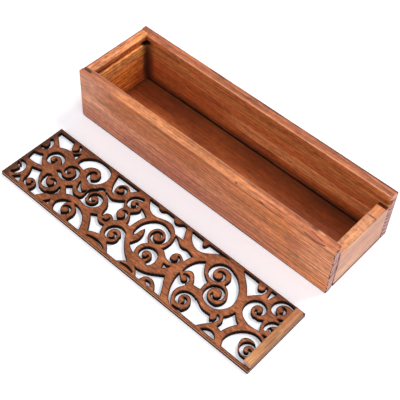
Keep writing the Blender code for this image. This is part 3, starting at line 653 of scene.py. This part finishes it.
class PENCILBOX_OT_ends(bpy.types.Operator):
    """Dress the two end boards, whose grain runs across the box"""

    bl_idname = "pencil_box.ends"
    bl_label = "Finish Ends"

    def execute(self, context):
        scene = context.scene
        self.dress_back(scene, scene.pencil_box_colours)
        self.dress_front(scene, scene.pencil_box_colours)
        return {"FINISHED"}

    def dress_back(self, scene, colours):
        """Bright orange inside with bold streaks, pinker on its top."""
        low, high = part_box("back_end")
        timber = Plank("back_end_stained_wood", "back_end", box_width,
                       pith=(low.x - 0.012, -0.040), sizes=scene.pencil_box_grain, seed=37.0)
        x, _, z = timber.parts
        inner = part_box("bottom_board")[1].y
        # Painted shade in the two inner corners by the side walls
        corner = timber.spot((high.x, inner, 0.018), (0.004, 0.0055, 0.036), 0.92)
        near_corner = timber.spot((high.x, -inner, 0.018), (0.004, 0.0045, 0.036), 0.75)
        # Painted shadow in the hole where the two grooves meet
        socket = timber.spot((high.x, inner, 0.0368), (0.0070, 0.0060, 0.0030), 1.0, 0.6)
        joint = timber.spot((low.x + 0.0037, low.y + 0.0004, high.z), (0.0066, 0.0022, 0.003), 0.9,
                            core=0.5)
        bright = z.rise(0.020, 0.032) * z.fall(0.0350, 0.0385)
        bright = bright * x.rise(high.x - 0.002, high.x - 0.001) * 0.75
        stains = [(z.rise(0.0385, 0.0405) * 0.75, colours.near_light),
                  (bright, colours.back_bright),
                  (z.fall(0.008, 0.022) * 0.55, colours.back_deep)]
        outline = x.fall(low.x + 0.0010, low.x + 0.0020) * z.rise(high.z - 0.002, high.z - 0.001)
        marks = [(corner, colours.grime_and_shade), (near_corner, colours.grime_and_shade), (socket, colours.painted_shadow_and_char),
                 (joint, colours.grime_and_shade), (outline * 0.75, colours.grime_and_shade)]
        outer = x.fall(low.x + 0.001, low.x + 0.002) * 0.9
        material = timber.material(colours.back_light, colours.back_deep, colours,
                                   ring_rate=1.05, line=1.0, bold=1.9, stains=stains,
                                   marks=marks, wax=outer, rubbed=0.40)
        timber.dress("back_end_board", material, scene.pencil_box_boards)

    def dress_front(self, scene, colours):
        """Peach on its face, curly orange on its top, raw beside the far notch."""
        low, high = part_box("front_end")
        timber = Plank("front_end_stained_wood", "front_end", box_width,
                       pith=(high.x + 0.004, -0.022), sizes=scene.pencil_box_grain, seed=41.0)
        x, y, z = timber.parts
        top = z.rise(high.z - 0.0008, high.z - 0.0002)
        cut = low.y + 0.715 * (high.y - low.y)
        middle = 0.5 * (low.x + high.x)
        scratch = timber.spot((middle, cut, high.z), (0.0060, 0.0008, 0.0020), 0.90, ragged=1.6)
        curly = timber.random(0.0022, 0.0042, 3.0, 0.6, 19.0).rise(0.44, 0.64)
        curly = curly * top * y.between(cut - 0.0300, cut - 0.0010, 0.0040)
        # Recess at the far side of the top, dark red-brown: partly its own stain, partly painted
        # shade
        recess = y.rise(high.y - 0.0038, high.y - 0.0034)
        recess = recess * z.rise(high.z - 0.0018, high.z - 0.0016)
        # Painted shadow along the recess's edges, by the far wall
        border = (y.rise(high.y - 0.0012, high.y - 0.0006) * 0.9).most(
            x.fall(low.x + 0.0004, low.x + 0.0014) * 0.9).most(
            y.fall(high.y - 0.0034, high.y - 0.0028) * 0.6)
        stains = [(y.rise(-0.014, 0.016) * 0.90, colours.front_deep),
                  (z.fall(0.0045, 0.0100) * 0.65, colours.front_deep),
                  (top * y.rise(cut - 0.0006, cut + 0.0012) * 0.90, colours.front_orange),
                  (top * y.fall(cut - 0.0012, cut) * 0.70, colours.near_orange)]
        marks = [(curly * 0.40, colours.late_wood), (scratch, colours.notch),
                 (recess, colours.notch), (recess * border, colours.painted_shadow_and_char)]
        near_side = y.rise(low.y + 0.0010, low.y + 0.0030) * 0.60
        material = timber.material(colours.front_light, colours.front_deep, colours,
                                   ring_rate=1.5, line=0.30, bold=0.60, stains=stains,
                                   marks=marks, wax=near_side, rubbed=0.30)
        timber.dress("front_end_board", material, scene.pencil_box_boards)


class PENCILBOX_OT_bottom(bpy.types.Operator):
    """Dress the bottom board, darkened with painted shade along its sides and ends"""

    bl_idname = "pencil_box.bottom"
    bl_label = "Finish Bottom Board"

    def execute(self, context):
        scene = context.scene
        colours = scene.pencil_box_colours
        timber = Plank("bottom_stained_wood", "bottom_board", box_length,
                       pith=(0.012, -0.030), sizes=scene.pencil_box_grain, seed=53.0)
        low, high = timber.low, timber.high
        x, y, _ = timber.parts
        uneven = (timber.random(0.012, 0.006, 2.0, 0.5, 10.3) - 0.5) * 0.004
        inside = 1 - timber.sawn_share()
        # Painted shade on the floor along the far wall, with painted shadow in the seam at its
        # edge
        side = (y + uneven).rise(0.0120, 0.0235) * (x.rise(-0.020, 0.080) * 0.20 + 0.50)
        seam = y.rise(high.y - 0.0012, high.y - 0.0003) * 0.80
        end_face = timber.sawn_share() * 0.70
        # Painted shade by the near wall and by both end boards
        near_side = (y + uneven).fall(low.y + 0.0010, low.y + 0.0040) * 0.6
        ends = (x + uneven).rise(high.x - 0.020, high.x - 0.009) * inside * 0.45
        back = (x + uneven).fall(low.x + 0.0015, low.x + 0.0050) * 0.4
        dull = x.rise(-0.010, 0.090) * 0.10
        marks = [(side * inside, colours.grime_and_shade), (seam * inside, colours.painted_shadow_and_char),
                 (near_side, colours.grime_and_shade), (ends, colours.grime_and_shade), (back, colours.grime_and_shade),
                 (end_face, colours.end_rings)]
        material = timber.material(colours.bottom_light, colours.bottom_deep, colours,
                                   ring_rate=1.9, line=0.25, bold=0.9,
                                   stains=[(dull, colours.bottom_deep)], marks=marks,
                                   wax=inside * 0.4, rubbed=0.15)
        timber.dress("bottom_panel_board", material, scene.pencil_box_boards)
        return {"FINISHED"}


def face_loops(mesh, level):
    """Closed outlines of the flat faces that lie at a level, in order."""
    bm = bmesh.new()
    bm.from_mesh(mesh)
    bmesh.ops.remove_doubles(bm, verts=bm.verts, dist=board_weld)
    on_face = {face for face in bm.faces if face.normal.z > 0.9
               and abs(face.calc_center_median().z - level) < level_reach}
    following = {}
    for face in on_face:
        for loop in face.loops:
            other = [side for side in loop.edge.link_faces if side is not face]
            if not any(side in on_face for side in other):
                following.setdefault(loop.vert.index, []).append(loop.link_loop_next.vert.index)
    places = {vert.index: vert.co.copy() for vert in bm.verts}
    bm.free()
    outlines = []
    while following:
        start = next(iter(following))
        outline = [start]
        here = following[start].pop()
        if not following[start]:
            del following[start]
        while here != start:
            outline.append(here)
            ahead = following[here].pop()
            if not following[here]:
                del following[here]
            here = ahead
        outlines.append([places[index].to_2d() for index in outline])
    return outlines


def smooth_outline(points, sharp_turn, steps):
    """Outline with its curves rounded between its points and its sharp corners kept."""
    count = len(points)
    sides = [points[(i + 1) % count] - points[i] for i in range(count)]
    smoothed = []
    for i in range(count):
        start, end = points[i], points[(i + 1) % count]
        before, here, after = sides[i - 1], sides[i], sides[(i + 1) % count]
        turns = [abs(before.angle_signed(here, 0.0)), abs(here.angle_signed(after, 0.0))]
        leaving = here if turns[0] > sharp_turn else before + here
        arriving = here if turns[1] > sharp_turn else here + after
        smoothed.append(start)
        if max(turns) < straight_turn or here.length < short_side:
            continue
        leaving = leaving.normalized() * here.length
        arriving = arriving.normalized() * here.length
        for step in range(1, steps):
            t = step / steps
            smoothed.append(start * (2 * t ** 3 - 3 * t ** 2 + 1)
                            + leaving * (t ** 3 - 2 * t ** 2 + t)
                            + end * (3 * t ** 2 - 2 * t ** 3)
                            + arriving * (t ** 3 - t ** 2))
    return smoothed


def area_inside(outline):
    """Twice the area inside an outline, less than nothing where it runs clockwise."""
    return sum(a.x * b.y - b.x * a.y for a, b in zip(outline, outline[1:] + outline[:1]))


def sawn_panel(name, outlines, low, high):
    """Flat panel sawn square through along its outlines, the largest being its rim."""
    outlines = [line if area_inside(line) > 0 else line[::-1] for line in outlines]
    outlines.sort(key=area_inside, reverse=True)
    places, faces = [], []
    for outline in outlines:
        faces.append(list(range(len(places), len(places) + len(outline))))
        places.extend(outline)
    flat, _, triangles, _, _, sources = delaunay_2d_cdt(places, [], faces, 0, outline_weld)
    bm = bmesh.new()
    corners = [bm.verts.new((place.x, place.y, high)) for place in flat]

    # Wood is what lies in the rim and in no opening
    for triangle, source in zip(triangles, sources):
        if source == [0]:
            bm.faces.new([corners[index] for index in triangle])
    bmesh.ops.delete(bm, geom=[vert for vert in bm.verts if not vert.link_faces], context="VERTS")
    under = bmesh.ops.duplicate(bm, geom=bm.verts[:] + bm.edges[:] + bm.faces[:])["geom"]
    under_faces = [item for item in under if isinstance(item, bmesh.types.BMFace)]
    bmesh.ops.reverse_faces(bm, faces=under_faces)
    for item in under:
        if isinstance(item, bmesh.types.BMVert):
            item.co.z = low
    top_rim = [edge for edge in bm.edges if edge.is_boundary and edge.verts[0].co.z > low]
    wall = bmesh.ops.extrude_edge_only(bm, edges=top_rim)["geom"]
    for item in wall:
        if isinstance(item, bmesh.types.BMVert):
            item.co.z = low
    bmesh.ops.remove_doubles(bm, verts=bm.verts, dist=seam_weld)
    bmesh.ops.recalc_face_normals(bm, faces=bm.faces)
    return put_piece(name, bm)


def lid_finish(colours, grain, lid):
    """Walnut stain on the face, char on the sawn walls and a burn halo round each opening."""
    timber = Timber("lid_walnut_stain", "lid_fretwork_panel", box_length, pith=(0.0, 0.0),
                    sizes=grain, seed=67.0)
    finish = timber.finish
    fibre = timber.random(0.0060, 0.00040, 4.0, 0.65, 0.4)
    flecks = timber.random(0.0030, 0.00070, 2.0, 0.6, 1.4)
    patches = timber.random(0.0120, 0.0050, 3.0, 0.6, 2.4)
    pores = timber.random(0.0022, 0.00022, 1.0, 0.5, 3.4).rise(0.62, 0.72)
    mottle = timber.random(0.0034, 0.0012, 3.0, 0.65, 5.4)

    # An opening is near where a wide rounding would turn the face
    straight = finish.add("ShaderNodeNewGeometry", output="Normal")
    wide = finish.add("ShaderNodeBevel", {"samples": 8}, {"Radius": lid.halo})
    halo = finish.vector("DOT_PRODUCT", wide, straight, output="Value").fall(0.92, 0.9995)

    x, y, z = timber.parts
    low, high = timber.low, timber.high
    surface = finish.blend(colours.lid_light, colours.lid_deep, patches.rise(0.30, 0.70) * 0.6)
    surface = finish.blend(surface, colours.lid_deep, x.fall(-0.100, 0.020) * 0.45)
    surface = finish.blend(surface, colours.lid_deep, fibre.rise(0.42, 0.62) * 0.6)
    surface = finish.blend(surface, colours.lid_light, flecks.rise(0.54, 0.68) * 0.7)
    surface = finish.blend(surface, (mottle - 0.5) * 2.4 + 1.0, 1.0, "MULTIPLY")
    surface = finish.blend(surface, colours.grime_and_shade, pores * 0.6)
    surface = finish.blend(surface, colours.char, halo * 0.88)
    frame_dark = (x.fall(low.x + 0.0025, low.x + 0.0060) * 0.75).most(
        y.rise(high.y - 0.0045, high.y - 0.0025) * 0.50)
    surface = finish.blend(surface, colours.grime_and_shade, frame_dark)
    rim = ((y - low.y).least(high.y - y)).least((x - low.x).least(high.x - x)).fall(0.0001, 0.0004)
    wall = timber.normals[2].fall(0.25, 0.6)
    streaks = finish.noise(finish.vector("MULTIPLY", timber.place, (2600.0, 2600.0, 240.0)),
                           2.0, 0.6, 5.0)
    # Char on the sawn walls, streaked with the stain
    painted_shadow_and_char = finish.blend(colours.char, colours.lid_deep, streaks.rise(0.50, 0.80) * 0.30)
    ply = finish.blend(colours.grime_and_shade, colours.bare_wood_and_highlight, z.rise(0.0019, 0.0023) * 0.70)
    surface = finish.blend(surface, finish.blend(painted_shadow_and_char, ply, rim), wall)

    height = fibre * 0.5 + flecks * 0.3 - pores * 0.8 + streaks * wall * 1.2
    rounded = finish.add("ShaderNodeBevel", {"samples": 6}, {"Radius": lid.arris})
    normal = finish.add("ShaderNodeBump", sockets={"Strength": 0.8, "Distance": grain.relief,
                                                   "Height": height, "Normal": rounded})
    dull = 0.46 + fibre * 0.14 + wall * 0.30
    return finish.close({"Base Color": surface, "Roughness": dull, "Normal": normal,
                         "Specular IOR Level": 0.08, "Coat Weight": (1 - wall) * 0.12,
                         "Coat Roughness": 0.40})


class PENCILBOX_OT_lid_panel(bpy.types.Operator):
    """Saw the lid's scrolled panel with smooth curves"""

    bl_idname = "pencil_box.lid_panel"
    bl_label = "Saw Lid Panel"

    def execute(self, context):
        scene = context.scene
        lid = scene.pencil_box_lid
        low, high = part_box("lid_fretwork_panel")
        outlines = face_loops(frame["nodes"]["lid_fretwork_panel"].data, high.z)
        if not outlines:
            raise RuntimeError("the lid panel has no face to follow")
        outlines = [smooth_outline(outline, lid.corner, lid.steps) for outline in outlines]
        panel = sawn_panel("sawn_lid_panel", outlines, low.z, high.z)
        stand_for(panel, "lid_fretwork_panel",
                  lid_finish(scene.pencil_box_colours, scene.pencil_box_grain, lid))
        return {"FINISHED"}


class PENCILBOX_OT_pull_strip(bpy.types.Operator):
    """Dress the pull strip, bare wood rubbed by fingers"""

    bl_idname = "pencil_box.pull_strip"
    bl_label = "Finish Pull Strip"

    def execute(self, context):
        scene = context.scene
        colours = scene.pencil_box_colours
        low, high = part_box("lid_pull_strip")
        timber = Plank("pull_strip_bare_wood", "lid_pull_strip", box_width,
                       pith=(low.x + 0.001, -0.006), sizes=scene.pencil_box_grain, seed=71.0)
        x, y, _ = timber.parts
        rub = timber.spot((high.x - 0.0015, 0.6 * low.y + 0.4 * high.y, high.z),
                          (0.0012, 0.0100, 0.0020), 0.45, ragged=1.0)
        far_end = y.rise(high.y - 0.016, high.y - 0.002) * 0.45
        side = x.rise(high.x - 0.0006, high.x - 0.0001) * 0.55
        material = timber.material(colours.strip_light, colours.strip_deep, colours,
                                   ring_rate=0.7, line=0.4, bold=0.8,
                                   stains=[(far_end, colours.strip_deep)],
                                   marks=[(rub, colours.grime_and_shade), (side, colours.lid_deep)],
                                   wax=0.45)
        timber.dress("pull_strip_bar", material, scene.pencil_box_boards)
        return {"FINISHED"}


class PENCILBOX_OT_stage(bpy.types.Operator):
    """Lay the pale floor and set the soft lamps, the room's light and the camera"""

    bl_idname = "pencil_box.stage"
    bl_label = "Set Stage"

    def execute(self, context):
        look = context.scene.pencil_box_stage
        self.lay_floor(look)
        self.light_room(context.scene, look)
        for name, setting, place, target, width in lamps:
            self.hang_lamp(name, place, target, width, getattr(look, setting))
        self.place_camera(context.scene, look)
        return {"FINISHED"}

    def lay_floor(self, look):
        """Wide pale floor that fades to white and keeps the box's shadow."""
        half = look.floor / 2
        mesh = bpy.data.meshes.new("floor")
        corners = [(-half, -half, 0.0), (half, -half, 0.0), (half, half, 0.0), (-half, half, 0.0)]
        mesh.from_pydata(corners, [], [(0, 1, 2, 3)])
        floor = bpy.data.objects.new("floor", mesh)
        floor.location.z = -floor_drop
        bpy.context.scene.collection.objects.link(floor)
        finish = Finish(bpy.data.materials.new("pale_floor"))
        place = finish.add("ShaderNodeTexCoord", output="Object")
        away = finish.vector("LENGTH", place, output="Value").rise(*ground_clears)
        pale = finish.blend(tuple(look.shadow_colour), (1.0, 1.0, 1.0), away)
        lift = finish.blend((0.0, 0.0, 0.0), pale, finish.seen())
        mesh.materials.append(finish.close({"Base Color": tuple(look.floor_colour),
                                            "Roughness": 0.9, "Specular IOR Level": 0.1,
                                            "Emission Color": lift, "Emission Strength": 1.0}))

    def light_room(self, scene, look):
        """Even warm light from all round, behind which the camera sees white."""
        scene.world = bpy.data.worlds.new("room")
        finish = Finish(scene.world)
        room = finish.add("ShaderNodeBackground",
                          sockets={"Color": (1.0, 0.985, 0.97), "Strength": look.sky})
        backdrop = finish.add("ShaderNodeBackground",
                              sockets={"Color": (1.0, 1.0, 1.0), "Strength": 1.0})
        choice = finish.add("ShaderNodeMixShader",
                            sockets={0: finish.seen(), 1: room, 2: backdrop})
        finish.add("ShaderNodeOutputWorld", sockets={"Surface": choice})

    def hang_lamp(self, name, place, target, width, watts):
        """Round soft lamp that points at its target."""
        data = bpy.data.lights.new(name, "AREA")
        data.shape = "DISK"
        data.size = width
        data.energy = watts
        lamp = bpy.data.objects.new(name, data)
        bpy.context.scene.collection.objects.link(lamp)
        lamp.location = place
        lamp.rotation_euler = (Vector(target) - Vector(place)).to_track_quat("-Z", "Y").to_euler()

    def place_camera(self, scene, look):
        """Camera that sees the box as the photo does."""
        data = bpy.data.cameras.new("camera")
        data.lens = look.focal
        data.sensor_width = sensor_width
        camera = bpy.data.objects.new("camera", data)
        scene.collection.objects.link(camera)
        turn = Matrix(camera_turn).transposed().to_4x4()
        camera.matrix_world = Matrix.Translation(camera_place) @ turn
        scene.camera = camera


class PENCILBOX_PT_panel(bpy.types.Panel):
    """Lists the pencil box's pieces and their settings"""

    bl_label = "Pencil Box"
    bl_idname = "PENCILBOX_PT_panel"
    bl_space_type = "VIEW_3D"
    bl_region_type = "UI"
    bl_category = "Pencil Box"

    def draw(self, context):
        for operator in operators:
            self.layout.operator(operator.bl_idname)
        for name in settings:
            box = self.layout.box()
            group = getattr(context.scene, name)
            for setting in group.__annotations__:
                box.prop(group, setting)


operators = (
    PENCILBOX_OT_near_wall,
    PENCILBOX_OT_far_wall,
    PENCILBOX_OT_ends,
    PENCILBOX_OT_bottom,
    PENCILBOX_OT_lid_panel,
    PENCILBOX_OT_pull_strip,
    PENCILBOX_OT_stage,
)

settings = {
    "pencil_box_colours": PencilBoxColours,
    "pencil_box_grain": PencilBoxGrain,
    "pencil_box_boards": PencilBoxBoards,
    "pencil_box_lid": PencilBoxLid,
    "pencil_box_stage": PencilBoxStage,
}


def register():
    for name, group in settings.items():
        bpy.utils.register_class(group)
        setattr(bpy.types.Scene, name, PointerProperty(type=group))
    for kind in (*operators, PENCILBOX_PT_panel):
        bpy.utils.register_class(kind)


def unregister():
    for kind in (PENCILBOX_PT_panel, *reversed(operators)):
        bpy.utils.unregister_class(kind)
    for name, group in reversed(settings.items()):
        delattr(bpy.types.Scene, name)
        bpy.utils.unregister_class(group)


def main():
    """Finish the whole pencil box."""
    register()
    bpy.context.scene.view_settings.view_transform = "Standard"
    bpy.ops.pencil_box.near_wall()
    bpy.ops.pencil_box.far_wall()
    bpy.ops.pencil_box.ends()
    bpy.ops.pencil_box.bottom()
    bpy.ops.pencil_box.lid_panel()
    bpy.ops.pencil_box.pull_strip()
    bpy.ops.pencil_box.stage()


if __name__ == "__main__":
    main()
